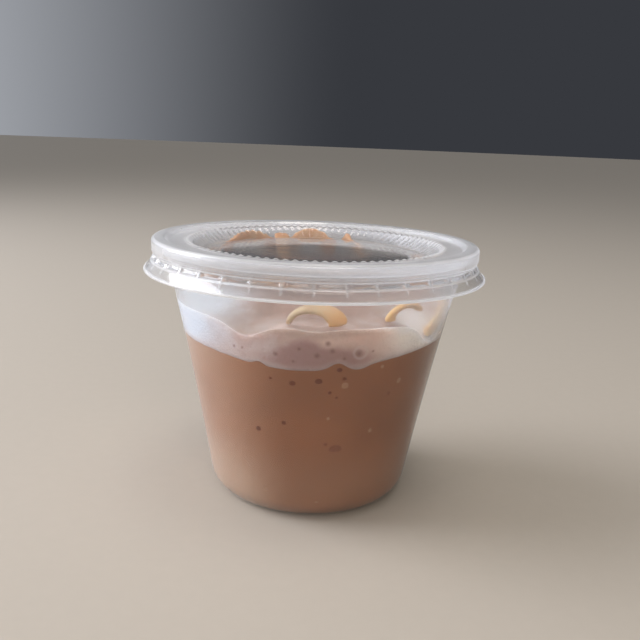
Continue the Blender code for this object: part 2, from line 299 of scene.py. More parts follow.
FILL_INSET = CUP_SHEET - 0.00008    # what fills the cup reaches just into its wall
LINE_Z = 0.03905                    # where pudding and cream meet at the wall
LINE_MIDDLE_Z = 0.0392
WARP_FROM_Z = 0.0300                # the pudding is an even body below this
LINE_WAVES = (
    # azimuth, half width, height
    (-6.0, 30.0, -0.0021),
    (-21.0, 2.6, 0.0008),
    (10.2, 4.0, 0.0013),
    (19.0, 5.0, -0.0008),
    (62.0, 26.0, 0.0010),
    (95.0, 22.0, 0.0006),
    (150.0, 26.0, -0.0009),
    (-120.0, 24.0, 0.0007),
)
LINE_RIPPLE = 0.00012               # small unevenness of that line
FILL_COLUMNS = 240

PUDDING = "#955F3B"
PUDDING_LIGHT = "#9F6640"
PUDDING_SKIN = "#B78A63"
PUDDING_CLOUD = 0.014               # size of its paler and darker clouds
PUDDING_FOAM = 0.00035              # fine bubbles, drawn about twice as coarse as they are
FOAM_SHOWS = 0.03                   # how strongly they are tinted
PAINTED_LIGHT = "#B4957C"                   # painted light: paler where the window light and the floor's bounce fall
PAINTED_LIGHT_SIDE = 0.44                   # how much of that there is on the left and at the back,
PAINTED_LIGHT_FOOT = 0.68                   # at the foot,
PAINTED_LIGHT_BAND = 0.30                   # and under the cream at the far left
WETTED_GLOSS = 0.1                  # what lies wet against plastic has hardly a gloss of its own

PIT_KINDS = (
    # kind of pit; its colour (painted shade for the dark kinds, a painted glint for the pale
    # one); how much of the painted light lies on it; how far light spreads in it
    ("dark_painted_shade", "#77380B", 0.3, 0.8),
    ("painted_glint", "#B28462", 1.0, 0.6),
    ("soft_painted_shade", "#8A502E", 1.0, 0.6),
)
PITS = (
    # azimuth, height, width, tall, and which of these kinds
    (-7.4, 0.0340, 0.0014, 0.0012, 0), (3.2, 0.0347, 0.0016, 0.0013, 0),
    (11.2, 0.0373, 0.0012, 0.0010, 0), (8.0, 0.0321, 0.0008, 0.0008, 0),
    (11.0, 0.0309, 0.0006, 0.0006, 0), (35.6, 0.0306, 0.0010, 0.0009, 2),
    (-16.5, 0.0347, 0.0007, 0.0007, 0), (13.6, 0.0353, 0.0010, 0.0008, 0),
    (-23.7, 0.0222, 0.0012, 0.0012, 0), (-11.3, 0.0245, 0.0010, 0.0010, 0),
    (7.8, 0.0197, 0.0010, 0.0009, 2), (12.7, 0.0186, 0.0036, 0.0018, 2),
    (8.3, 0.0260, 0.0008, 0.0008, 1), (29.4, 0.0222, 0.0010, 0.0010, 1),
    (14.1, 0.0337, 0.0016, 0.0015, 1), (40.4, 0.0333, 0.0013, 0.0014, 1),
    (-22.0, 0.0071, 0.0013, 0.0011, 1), (-14.0, 0.0038, 0.0009, 0.0007, 1),
    (5.5, 0.0050, 0.0010, 0.0008, 1), (29.6, 0.0374, 0.0010, 0.0009, 1),
)
PIT_DEPTH = 0.00006                 # hardly hollow: a pit shows only by its painted colour
PITS_BEHIND = 46                    # more of them, anywhere but in the front sector
FRONT_SECTOR = 80.0                 # to either side of the front
PIT_WIDTHS = (0.0006, 0.0018)
PIT_HEIGHTS = (0.0060, 0.0355)


def bell(offset, half_width):
    """A smooth bump of height 1 around 0."""
    return math.exp(-((offset / half_width) ** 2))


def wave_sum(azimuth, waves):
    """Height that the waves add at an azimuth, which wraps round at the back."""
    total = 0.0
    for centre, half_width, height in waves:
        total += height * bell((azimuth - centre + 180.0) % 360.0 - 180.0, half_width)
    return total


def around(azimuth, radius, z):
    """Point at an azimuth, radius and height."""
    angle = math.radians(azimuth)
    return Vector((radius * math.sin(angle), -radius * math.cos(angle), z))


def line_height(share, azimuth):
    """Height of the pudding's top, share being the way from the axis to the wall."""
    ripple = LINE_RIPPLE * noise.noise(around(azimuth, 12.0, 0.0))
    at_wall = LINE_Z + wave_sum(azimuth, LINE_WAVES) + ripple
    return LINE_MIDDLE_Z + (at_wall - LINE_MIDDLE_Z) * share ** 3


def lay_over(tree, under, over, measure, full, none, strength=1.0, fall="LINEAR"):
    """A colour laid over another one: as strong as given where the measure reaches full, and
    fading to nothing where it reaches none."""
    share = add(tree, "ShaderNodeMapRange", {
        "Value": measure, "From Min": full, "From Max": none, "To Min": strength, "To Max": 0.0,
    }, interpolation_type=fall).outputs[0]
    return add(
        tree, "ShaderNodeMix", {0: share, 6: under, 7: tone(over)}, data_type="RGBA"
    ).outputs[2]


def set_pudding(name, main, light, painted_light_share=1.0, spread=0.15):
    """Set pudding: smooth and moist, close to one brown, with soft paler clouds and the dust
    of fine bubbles that beating leaves. Light goes a little way in, so edges stay soft."""
    material, tree, place = blank(name)
    clouds = add(
        tree, "ShaderNodeTexNoise", {"Vector": place, "Scale": 1 / PUDDING_CLOUD, "Detail": 2.0}
    ).outputs["Fac"]
    foam = add(
        tree, "ShaderNodeTexVoronoi", {"Vector": place, "Scale": 1 / PUDDING_FOAM}
    ).outputs["Distance"]
    painted_light_here = add(tree, "ShaderNodeAttribute", attribute_name="painted_light").outputs["Fac"]
    colour = lay_over(tree, tone(main), light, clouds, 0.65, 0.35)
    # painted light: the pudding paled by the stored share
    colour = lay_over(tree, colour, PAINTED_LIGHT, painted_light_here, 1.0, 0.0, painted_light_share)
    colour = lay_over(tree, colour, PUDDING_SKIN, foam, 0.0, 0.6, FOAM_SHOWS)
    bump = add(tree, "ShaderNodeBump", {"Height": foam, "Strength": 0.015, "Distance": 0.0001})
    shader = add(tree, "ShaderNodeBsdfPrincipled", {
        "Base Color": colour, "Roughness": 0.42, "IOR": 1.40, "Specular IOR Level": WETTED_GLOSS,
        "Normal": bump.outputs[0], "Subsurface Weight": spread,
        "Subsurface Radius": (0.0022, 0.0010, 0.0006), "Subsurface Scale": 1.0,
    })
    add(tree, "ShaderNodeOutputMaterial", {"Surface": shader.outputs[0]})
    return material


def pit_places():
    """The pits that show, and others like them round the rest of the wall, none of them
    touching another."""
    rng = random.Random(7)
    least, most = PIT_WIDTHS
    rows = list(PITS)
    while len(rows) < len(PITS) + PITS_BEHIND:
        width = least + (most - least) * rng.random() ** 2
        azimuth = rng.uniform(FRONT_SECTOR, 360.0 - FRONT_SECTOR)
        height = rng.uniform(*PIT_HEIGHTS)
        spot = around(azimuth, FOOT_R, height)
        if all((spot - around(a, FOOT_R, z)).length > width + w for a, z, w, *_ in rows):
            tall = width * rng.uniform(0.75, 1.0)
            rows.append((azimuth, height, width, tall, rng.randrange(len(PIT_KINDS))))
    return rows


def wall_spot(azimuth, z):
    """Point of what fills the cup, where it lies against the wall."""
    return around(azimuth, wall_radius(z) - FILL_INSET, z)


def cut_pits(piece):
    """Cuts the pits into the wall side, each lined with the cutter's own material."""
    bm = bmesh.new()
    for azimuth, height, width, tall, kind in pit_places():
        size = Matrix.Diagonal((width / 2.0, PIT_DEPTH, tall / 2.0, 1.0))
        turn = Matrix.Rotation(math.radians(azimuth), 4, "Z")
        turn @= Matrix.Rotation(math.radians(TAPER_ANGLE), 4, "X")
        spot = Matrix.Translation(wall_spot(azimuth, height))
        grown = bmesh.ops.create_uvsphere(
            bm, u_segments=16, v_segments=10, radius=1.0, matrix=spot @ turn @ size
        )
        for face in {face for vert in grown["verts"] for face in vert.link_faces}:
            face.material_index = kind
    cutter = finish_mesh("pit_cutter", bm, *(
        set_pudding(f"set_pudding_{kind}_pit", shade, shade, painted_light_share, spread)
        for kind, shade, painted_light_share, spread in PIT_KINDS
    ))
    cut = piece.modifiers.new("pits", "BOOLEAN")
    cut.object = cutter
    cut.operation = "DIFFERENCE"
    cut.solver = "EXACT"
    cut.material_mode = "TRANSFER"
    bpy.context.view_layer.update()
    whole = piece.evaluated_get(bpy.context.evaluated_depsgraph_get())
    mesh = bpy.data.meshes.new_from_object(whole)
    piece.modifiers.clear()
    piece.data = mesh
    bpy.data.objects.remove(cutter)


def painted_light(radius, z, azimuth):
    """How much painted light pales the pudding: most at the foot, then all along the left side
    and the back, and a band under the cream at the far left."""
    side = max(ramp(-azimuth, 5.0, 45.0), ramp(azimuth, 110.0, 170.0))
    low = (1.0 - ramp(z, 0.006, 0.022)) * (0.42 + 0.58 * side)
    band = ramp(z, 0.0290, 0.0380) * ramp(-azimuth, 32.0, 62.0)
    return PAINTED_LIGHT_SIDE * side + PAINTED_LIGHT_FOOT * low + PAINTED_LIGHT_BAND * band


def make_pudding():
    """An even body, and above it a side and top that are drawn to the wavy line."""
    body = shell(FILL_INSET, WARP_FROM_Z, 12, 16)
    wall_r = body[-1][0]
    rise = LINE_Z - WARP_FROM_Z
    side = [(wall_r, WARP_FROM_Z + rise * share) for share in spaced(0.0, 1.0, 12)]
    top = [(wall_r * share, LINE_Z) for share in (0.99, 0.96, 0.9, 0.75, 0.5, 0.25, 0.0)]

    def place(radius, z, azimuth):
        """Lifts what is above the even body to the wavy line, and out to the wall."""
        if z <= WARP_FROM_Z + 1e-6:
            return radius, z
        share = radius / wall_r
        stretch = (line_height(share, azimuth) - WARP_FROM_Z) / rise
        lifted = WARP_FROM_Z + (z - WARP_FROM_Z) * stretch
        return share * (wall_radius(lifted) - FILL_INSET), lifted

    bm = turned(body + side + top, FILL_COLUMNS, place)
    piece = finish_mesh("set_pudding", bm, set_pudding("set_pudding", PUDDING, PUDDING_LIGHT))
    cut_pits(piece)
    piece.data.set_sharp_from_angle(angle=math.radians(20.0))
    mark(piece, "painted_light", painted_light)
    return piece


pudding = make_pudding()
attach(pudding, "root")
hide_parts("pudding")

# -------------------------------------------------------------------- Cream
# Whipped cream spooned on the pudding and pressed to the wall. It took up some pudding, so it is
# beige, with a purplish grey pocket low at the front. Froth shows in its face. Over this lie
# painted light and shade: a darker top as painted shade under the lid, patches of painted light
# at the sides, and painted highlights along the pudding's edge and round a flat bubble.

CREAM_WALL_Z = 0.0462
CREAM_MIDDLE_Z = 0.0468
CREAM_WAVES = (
    # azimuth, half width, height
    (-26.0, 9.0, -0.0027),
    (1.0, 6.0, -0.0006),
    (57.0, 12.5, -0.0050),
    (72.0, 9.0, -0.0022),
    (115.0, 20.0, 0.0005),
    (180.0, 70.0, 0.0030),
    (-95.0, 22.0, 0.0006),
)
CREAM_MOUNDS = (
    # x, y, radius, height
    (-0.0120, -0.0100, 0.0080, 0.0010),
    (0.0090, -0.0130, 0.0070, 0.0008),
    (0.0150, 0.0050, 0.0080, 0.0011),
    (-0.0040, 0.0160, 0.0120, 0.0021),
    (0.0218, -0.0150, 0.0065, -0.0010),
)
CREAM_OVERLAP = 0.0003              # how far the cream reaches down behind the pudding's edge
CREAM_SHY = 0.00002                 # how much nearer the axis than the pudding its side lies
CREAM_FOLDS = 0.0005                # height of the folds that a spoon leaves
CREAM_FOLD_SIZE = 0.0055

CREAM_SIDE = ("#D0BFBA", "#C6AEA6") # pressed to the wall: main colour, and mottled
SHADED_CREAM_TOP = ("#B9A598", "#AC9184")  # its free top, the same way, darker as painted shade under the lid
CREAM_SWIRL = 0.0040                # size of the mottles that folding leaves
SWIRL_DRIFT = (0.0035, 0.0035, 0.0018)  # how far patch edges wander along x, y, z
FROTH = 0.0007                      # size of the bubbles in the froth
FROTH_SHOWS = 0.25                  # how strongly they are tinted
# On the side, the bluish white patch at -70 degrees and the near-white one at 46 are painted
# light of the window and the lamp above, and the darker one at -4 along the top edge is painted
# shade.
SIDE_PATCHES = (
    # azimuth, radius, z of the middle; reach along x, y, z; where the edge starts; colour
    ((-70.0, 0.0310, 0.0445), (0.0200, 0.0300, 0.0110), 0.35, "#D4DAE1"),
    ((16.0, 0.0310, 0.0440), (0.0170, 0.0120, 0.0080), 0.45, "#DFC7BC"),
    ((-4.0, 0.0310, 0.0462), (0.0215, 0.0120, 0.0026), 0.35, "#C1ACA2"),
    ((46.0, 0.0310, 0.0440), (0.0125, 0.0150, 0.0090), 0.35, "#FAF0EA"),
    ((3.0, 0.0303, 0.0394), (0.0146, 0.0120, 0.0043), 0.50, "#B2908A"),
    ((-2.0, 0.0303, 0.0407), (0.0052, 0.0120, 0.0044), 0.50, "#B2918C"),
)
# On the top, the bluish white patch at -70 degrees and the pale one at 56 are painted light, the
# darker ones in the middle and at the back are painted shade under the lid, and the pale one at
# the front edge is painted light in the arch's shadow.
TOP_PATCHES = (
    # as above
    ((-70.0, 0.0310, 0.0470), (0.0210, 0.0300, 0.0110), 0.30, "#CDD2D6"),
    ((56.0, 0.0290, 0.0450), (0.0100, 0.0150, 0.0090), 0.35, "#E6DED8"),
    ((0.0, 0.0150, 0.0480), (0.0185, 0.0145, 0.0070), 0.45, "#9F8172"),
    ((180.0, 0.0130, 0.0500), (0.0300, 0.0290, 0.0060), 0.60, "#74584D"),
    ((0.0, 0.0300, 0.0466), (0.0118, 0.0050, 0.0040), 0.35, "#D9C0B3"),
)
FROTH_PITS = (
    # azimuth, z, width of the larger ones
    (-31.6, 0.0407, 0.0006), (-27.8, 0.0407, 0.0005), (-13.9, 0.0403, 0.0009),
    (-7.0, 0.0390, 0.0006), (2.0, 0.0405, 0.0011), (7.8, 0.0416, 0.0010),
    (-4.8, 0.0418, 0.0007), (5.9, 0.0432, 0.0010), (18.2, 0.0409, 0.0014),
    (12.6, 0.0398, 0.0006), (24.0, 0.0412, 0.0005),
)
# painted shade in the froth pits
FROTH_PIT_SHADE = "#85625B"
BUBBLE = (18.9, 0.0411, 0.0028)     # azimuth, z, width of a bubble pressed flat on the wall
# the bubble's pale rim is a painted highlight
BUBBLE_RIM_HIGHLIGHT = "#D8C9C4"
BUBBLE_HIGHLIGHT_W = (0.0001, 0.0005)     # full this far to each side of the rim, and gone there
BUBBLE_HIGHLIGHT_SHOWS = 0.4
LINE_HIGHLIGHT_W = 0.0009                  # pale band right over the pudding's edge: a painted highlight
LINE_HIGHLIGHT_SHOWS = 0.35
CREAM_PRESSED = (0.0005, 0.0001)    # this far from the wall it is a free top, or pressed flat


def cream_height(share, azimuth):
    """Height of the cream's top: level at the middle, waves at the wall, mounds between."""
    at_wall = CREAM_WALL_Z + wave_sum(azimuth, CREAM_WAVES)
    height = CREAM_MIDDLE_Z + (at_wall - CREAM_MIDDLE_Z) * share ** 4
    x, y, _ = around(azimuth, share * (wall_radius(height) - FILL_INSET), 0.0)
    for mound_x, mound_y, width, rise in CREAM_MOUNDS:
        height += rise * bell(math.hypot(x - mound_x, y - mound_y), width)
    spot = Vector((x, y, 0.0))
    folds = noise.noise(spot / CREAM_FOLD_SIZE) + 0.5 * noise.noise(spot / CREAM_FOLD_SIZE * 2.7)
    return height + CREAM_FOLDS * folds * (1.0 - share ** 8)


def mottled(tree, swirl, drifted, shades, patches):
    """Two shades mottled together, and over them soft patches with wandering edges."""
    main, other = shades
    colour = lay_over(tree, tone(main), other, swirl, 0.7, 0.35)
    for centre, reach, edge, shade in patches:
        offset = add(
            tree, "ShaderNodeVectorMath", {0: drifted, 1: around(*centre)}, operation="SUBTRACT"
        ).outputs[0]
        scaled = add(
            tree, "ShaderNodeVectorMath", {0: offset, 1: tuple(1.0 / r for r in reach)},
            operation="MULTIPLY",
        ).outputs[0]
        away = add(
            tree, "ShaderNodeVectorMath", {0: scaled}, operation="LENGTH"
        ).outputs["Value"]
        colour = lay_over(tree, colour, shade, away, edge, 1.0, fall="SMOOTHSTEP")
    return colour


def pricked(tree, place, colour):
    """The side with its larger froth pits, darkened as painted shade, and the pale rim of the
    flat bubble, a painted highlight.
    """
    for azimuth, z, width in FROTH_PITS:
        away = add(
            tree, "ShaderNodeVectorMath", {0: place, 1: wall_spot(azimuth, z)},
            operation="DISTANCE",
        ).outputs["Value"]
        colour = lay_over(tree, colour, FROTH_PIT_SHADE, away, 0.1 * width, 0.8 * width, 0.7)
    azimuth, z, width = BUBBLE
    away = add(
        tree, "ShaderNodeVectorMath", {0: place, 1: wall_spot(azimuth, z)}, operation="DISTANCE"
    ).outputs["Value"]
    past = add(
        tree, "ShaderNodeMath", {0: away, 1: 0.5 * width}, operation="SUBTRACT"
    ).outputs[0]
    off = add(tree, "ShaderNodeMath", {0: past}, operation="ABSOLUTE").outputs[0]
    return lay_over(tree, colour, BUBBLE_RIM_HIGHLIGHT, off, *BUBBLE_HIGHLIGHT_W, BUBBLE_HIGHLIGHT_SHOWS)


def whipped_cream():
    """Whipped cream: matt and soft, since light spreads inside it; mottled where it took up
    pudding, and pricked all over by froth. Its darker top, its patches, froth pits and pale rims
    are painted light and painted shade."""
    material, tree, place = blank("whipped_folded_cream")
    swirl = add(tree, "ShaderNodeTexNoise", {
        "Vector": place, "Scale": 1 / CREAM_SWIRL, "Detail": 4.0, "Distortion": 0.6,
    }).outputs
    shift = add(
        tree, "ShaderNodeVectorMath", {0: swirl["Color"], 1: (0.5, 0.5, 0.5)},
        operation="SUBTRACT",
    ).outputs[0]
    drifted = add(
        tree, "ShaderNodeVectorMath", {0: shift, 1: SWIRL_DRIFT, 2: place},
        operation="MULTIPLY_ADD",
    ).outputs[0]
    froth = add(
        tree, "ShaderNodeTexVoronoi", {"Vector": place, "Scale": 1 / FROTH}
    ).outputs["Distance"]
    over_line = add(tree, "ShaderNodeAttribute", attribute_name="over_line").outputs["Fac"]
    pressed = add(tree, "ShaderNodeAttribute", attribute_name="pressed").outputs["Fac"]

    top = mottled(tree, swirl["Fac"], drifted, SHADED_CREAM_TOP, TOP_PATCHES)
    side = mottled(tree, swirl["Fac"], drifted, CREAM_SIDE, SIDE_PATCHES)
    # painted highlight: a pale band along the pudding's edge
    side = lay_over(
        tree, side, CREAM_SIDE[0], over_line, 0.5 * LINE_HIGHLIGHT_W, 1.6 * LINE_HIGHLIGHT_W, LINE_HIGHLIGHT_SHOWS
    )
    side = pricked(tree, place, side)
    colour = add(
        tree, "ShaderNodeMix", {0: pressed, 6: top, 7: side}, data_type="RGBA"
    ).outputs[2]
    colour = lay_over(tree, colour, SHADED_CREAM_TOP[1], froth, 0.05, 0.35, FROTH_SHOWS)
    bump = add(tree, "ShaderNodeBump", {"Height": froth, "Strength": 0.35, "Distance": 0.0003})
    shader = add(tree, "ShaderNodeBsdfPrincipled", {
        "Base Color": colour, "Roughness": 0.55, "IOR": 1.42, "Specular IOR Level": WETTED_GLOSS,
        "Normal": bump.outputs[0], "Subsurface Weight": 0.9,
        "Subsurface Radius": (0.0034, 0.0031, 0.0028), "Subsurface Scale": 1.0,
    })
    add(tree, "ShaderNodeOutputMaterial", {"Surface": shader.outputs[0]})
    return material


def make_cream():
    """Profile points here are shares of the way to the wall and from the underside to the top."""
    underside = [(share, 0.0) for share in (0.0, 0.3, 0.6, 0.8, 0.92, 1.0)]
    side = [(1.0, level) for level in spaced(0.0, 1.0, 16)]
    top = [(share, 1.0) for share in spaced(1.0, 0.0, 60)]

    def place(share, level, azimuth):
        """Level 0 lies behind the pudding's edge, and level 1 is the cream's own top."""
        low = line_height(share, azimuth) - CREAM_OVERLAP
        z = low + level * (cream_height(share, azimuth) - low)
        return share * (wall_radius(z) - FILL_INSET - CREAM_SHY), z

    def pressed(radius, z, azimuth):
        """1 where the cream lies against the wall, 0 on its free top."""
        free, flat = CREAM_PRESSED
        return 1.0 - ramp(wall_radius(z) - FILL_INSET - radius, flat, free)

    bm = turned(underside + side + top, FILL_COLUMNS, place)
    piece = finish_mesh("whipped_cream", bm, whipped_cream(), sharp=80.0)
    mark(piece, "over_line", lambda radius, z, azimuth: z - line_height(1.0, azimuth))
    mark(piece, "pressed", pressed)
    return piece


cream = make_cream()
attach(cream, "root")
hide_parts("cream")

# ------------------------------------------------------------------- Shreds
# Coarse shreds, cut on a grater and strewn over the cream: long soft strips a little over a
# millimetre thick, which curl as they fall. Their edges are rough where the grater tore them.

SHRED_THICK = 0.0013
SHRED_STEPS = 44
SHRED_SIDES = 18
SHRED_SQUARE = 2.6                  # how square the section is: 2 is an oval
SHRED_ROUGH = 0.00016               # how far the edges wander
SHRED_TURN = 2.2                    # how much of its turn a strip keeps for its end
SHREDS = (
    # start, middle, end (each azimuth, radius, height); degrees of the bend;
    # roll and width, both at the start and at the end
    ((-9.2, 0.0298, 0.0465), (0.0, 0.0295, 0.0499), (9.8, 0.0304, 0.0466),
     178.0, (0.0, 86.0), (0.0024, 0.0050)),
    ((52.0, 0.0290, 0.0479), (38.5, 0.0297, 0.0498), (31.6, 0.0298, 0.0469),
     130.0, (8.0, 82.0), (0.0018, 0.0042)),
    ((56.5, 0.0291, 0.0424), (67.5, 0.0297, 0.0443), (79.0, 0.0304, 0.0476),
     90.0, (82.0, 96.0), (0.0024, 0.0028)),
    ((-158.5, 0.0296, 0.0507), (-145.0, 0.0312, 0.0561), (-130.0, 0.0294, 0.0501),
     145.0, (75.0, 96.0), (0.0040, 0.0046)),
    ((-158.0, 0.0210, 0.0501), (-161.0, 0.0265, 0.0532), (-162.5, 0.0310, 0.0570),
     90.0, (80.0, 88.0), (0.0034, 0.0046)),
    ((-167.0, 0.0296, 0.0510), (-177.5, 0.0312, 0.0562), (172.0, 0.0294, 0.0508),
     145.0, (96.0, 74.0), (0.0046, 0.0042)),
    ((140.0, 0.0235, 0.0486), (154.0, 0.0262, 0.0524), (166.0, 0.0309, 0.0566),
     95.0, (20.0, 84.0), (0.0034, 0.0042)),
    ((-123.0, 0.0285, 0.0491), (-110.0, 0.0278, 0.0532), (-97.0, 0.0250, 0.0481),
     130.0, (62.0, 35.0), (0.0036, 0.0042)),
    ((99.0, 0.0262, 0.0483), (112.0, 0.0292, 0.0526), (127.0, 0.0290, 0.0492),
     125.0, (60.0, 92.0), (0.0034, 0.0042)),
    ((-118.0, 0.0150, 0.0484), (-147.0, 0.0150, 0.0508), (-178.0, 0.0110, 0.0494),
     100.0, (20.0, 5.0), (0.0034, 0.0040)),
)

SHRED_TONES = (
    # which strips; main colour; colour where it dried; colour of its broad end
    ((1,), "#C9A87D", "#D8C19C", "#E6B171"),
    ((2, 3), "#E8B982", "#EED4AC", "#FAC884"),
    ((4, 5, 6, 7, 8, 9, 10), "#C08A55", "#C9A67C", "#C08A55"),
)
SHRED_PATCH = 0.0035                # size of the drier patches
SHRED_GRAIN = 0.0009                # size of the torn grain
SHRED_TIP = 0.02                    # a blunt tip narrows to this share of the strip
SHRED_BLUNT = 10                    # how suddenly it does so
EDGE_NOISE = (14.0, 0.7, 5.0)       # steps along a strip, round its section, from strip to strip


def grated_shred(name, main, dry, broad):
    """Soft yellow shred: waxy rather than wet, paler where it dried and fuller in colour at its
    broad end, with a fine torn grain."""
    material, tree, place = blank(name)
    patches = add(
        tree, "ShaderNodeTexNoise", {"Vector": place, "Scale": 1 / SHRED_PATCH, "Detail": 3.0}
    ).outputs["Fac"]
    grain = add(
        tree, "ShaderNodeTexNoise", {"Vector": place, "Scale": 1 / SHRED_GRAIN, "Detail": 4.0}
    ).outputs["Fac"]
    along = add(tree, "ShaderNodeAttribute", attribute_name="along").outputs["Fac"]
    colour = lay_over(tree, tone(main), dry, patches, 0.7, 0.35)
    colour = lay_over(tree, colour, broad, along, 0.7, 0.2)
    bump = add(tree, "ShaderNodeBump", {"Height": grain, "Strength": 0.3, "Distance": 0.0002})
    shader = add(tree, "ShaderNodeBsdfPrincipled", {
        "Base Color": colour, "Roughness": 0.5, "IOR": 1.44, "Normal": bump.outputs[0],
        "Subsurface Weight": 0.3, "Subsurface Radius": (0.0020, 0.0012, 0.0005),
        "Subsurface Scale": 1.0,
    })
    add(tree, "ShaderNodeOutputMaterial", {"Surface": shader.outputs[0]})
    return material


def shred_path(start, middle, end, sweep):
    """Points of a part of an ellipse from start over middle to end."""
    a, m, b = around(*start), around(*middle), around(*end)
    centre = (a + b) / 2.0
    low = math.radians((180.0 - sweep) / 2.0)
    points = []
    for i in range(SHRED_STEPS + 1):
        angle = low + (math.pi - 2.0 * low) * i / SHRED_STEPS
        across = -math.cos(angle) / math.cos(low)
        up = (math.sin(angle) - math.sin(low)) / (1.0 - math.sin(low))
        points.append(centre + across * (b - a) / 2.0 + up * (m - centre))
    return points


def oblong(angle):
    """Point of the shred's section, a rounded oblong of half width and half thickness 1."""
    power = 2.0 / SHRED_SQUARE
    c, s = math.cos(angle), math.sin(angle)
    return math.copysign(abs(c) ** power, c), math.copysign(abs(s) ** power, s)


def make_shred(number, material, start, middle, end, sweep, rolls, widths):
    """One strip, swept along its path from its narrow end to its broad one."""
    path = shred_path(start, middle, end, sweep)
    bm = bmesh.new()
    rings = []
    for i, centre in enumerate(path):
        share = i / SHRED_STEPS
        along = (path[min(i + 1, SHRED_STEPS)] - path[max(i - 1, 0)]).normalized()
        outward = Vector((centre.x, centre.y, 0.0))
        outward = (outward - outward.dot(along) * along).normalized()
        across = along.cross(outward)
        turn = share ** SHRED_TURN
        roll = math.radians(rolls[0] + (rolls[1] - rolls[0]) * turn)
        flat = outward * math.cos(roll) + across * math.sin(roll)
        thick = across * math.cos(roll) - outward * math.sin(roll)
        body = (1.0 - abs(2.0 * share - 1.0) ** SHRED_BLUNT) ** 0.5
        tip = SHRED_TIP + (1.0 - SHRED_TIP) * body
        width = 0.5 * tip * (widths[0] + (widths[1] - widths[0]) * turn)
        depth = 0.5 * tip * SHRED_THICK
        ring = []
        for j in range(SHRED_SIDES):
            u, v = oblong(math.tau * j / SHRED_SIDES)
            place = [a * step for a, step in zip((share, j, number), EDGE_NOISE)]
            wander = SHRED_ROUGH * noise.noise(place) * tip
            point = centre + flat * u * (width + wander) + thick * v * (depth + 0.4 * wander)
            ring.append(bm.verts.new(point))
        rings.append(ring)
    for near, far in zip(rings, rings[1:]):
        for j in range(SHRED_SIDES):
            k = (j + 1) % SHRED_SIDES
            bm.faces.new((near[j], near[k], far[k], far[j]))
    bm.faces.new(rings[0][::-1])
    bm.faces.new(rings[-1])
    piece = finish_mesh(f"grated_shred_{number}", bm, material, sharp=60.0)
    stored = piece.data.attributes.new("along", "FLOAT", "POINT")
    for index, point in enumerate(stored.data):
        point.value = (index // SHRED_SIDES / SHRED_STEPS) ** SHRED_TURN
    return piece


shred_materials = {}
for numbers, *shades in SHRED_TONES:
    material = grated_shred(f"grated_waxy_shred_{numbers[0]}", *shades)
    shred_materials.update((number, material) for number in numbers)
for number, row in enumerate(SHREDS, start=1):
    shred = make_shred(number, shred_materials[number], *row)
    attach(shred, "root")
    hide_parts(f"shred_{number}")

# ---------------------------------------------------------------------- Lid
# Lid of clear polypropylene sheet, thermoformed and pressed over the rim: a bead that grips
# the rolled lip, a shelf inside it, and a sunk centre panel with a fluted wall that stiffens
# it. Pressed lugs hold it under the rim, and its flared edge is rolled to a fine hem.

LID_SHEET = 0.0004
LID_TOP_Z = 0.0601
LID_BEAD_R = 0.0375
LID_BEAD_W = 0.0029
LID_BEAD_ROUND = 0.0009
LID_SHELF_DROP = 0.0009
LID_RECESS_R = 0.0293
LID_PANEL_R = 0.0256
LID_PANEL_Z = 0.0566
LID_PANEL_STEP = 0.0003
LID_PLATEAU_R = 0.0215
LID_WAIST_Z = 0.0568
LID_WAIST_IN = 0.0004
LID_LEAN = 0.4                      # share of the sheet by which the recess wall's underside
                                    # lies further out
LID_BEND = 0.0003                   # length over which the sheet rounds a corner
HEM_R = 0.0393
HEM_Z = 0.0527
HEM_ROLL = 0.0003                   # section radius of the hem
LUG_COUNT = 38
LUG_DEPTH = 0.0006
LUG_TOP_Z = 0.0565
LUG_BOTTOM_Z = 0.0551
LUG_EDGE = 0.00018                  # half the height of a lug's soft upper and lower edge
LUG_SIDE = (0.035, 0.10)            # where its side starts and ends, as shares of the pitch
FLUTES = 95
FLUTE_DEPTH = 0.00018
FLUTE_RISE = 0.0004                 # how far each flute's rounded top stands over the shelf
FLUTE_REACH = 0.0012                # how far that top runs out on the shelf
LID_COLUMNS = 15 * LUG_COUNT        # also 6 to a flute

LID_TINT = "#F0F0F0"
LID_DEPTH = 0.008                   # cloud in the panel, where the sheet is clearest
BEND_DEPTH = 0.60                   # cloud where it was bent sharply and turned white, partly a painted highlight
LID_RIPPLE = 0.0060                 # size of the waviness from cooling
SKIRT_WHITE = 0.03                  # how near to that white the sheet comes in the skirt,
RECESS_WHITE = 0.06                 # in the recess wall,
THICK_WHITE = 0.12                  # at the shelf and bead,
EDGE_WHITE = 0.42                   # at the bead's upper edge, partly a painted highlight,
RIB_WHITE = 0.30                    # at the ribs between the lugs,
LUG_WHITE = 0.36                    # along the lugs' upper and lower edges, partly a painted highlight,
HEM_WHITE = 0.70                    # at the hem, partly a painted highlight,
FLUTE_WHITE = 0.60                  # and on the flutes' tops, a painted highlight
RECESS_CLEARER = 0.60               # share of its white that the recess wall lacks at the back,
FLUTE_CLEARER = 0.85                # and the same for the flutes' tops: painted shade where less light falls
RIB_SIDE = (0.03, 0.08)             # where a rib's side starts and ends, as shares of the pitch


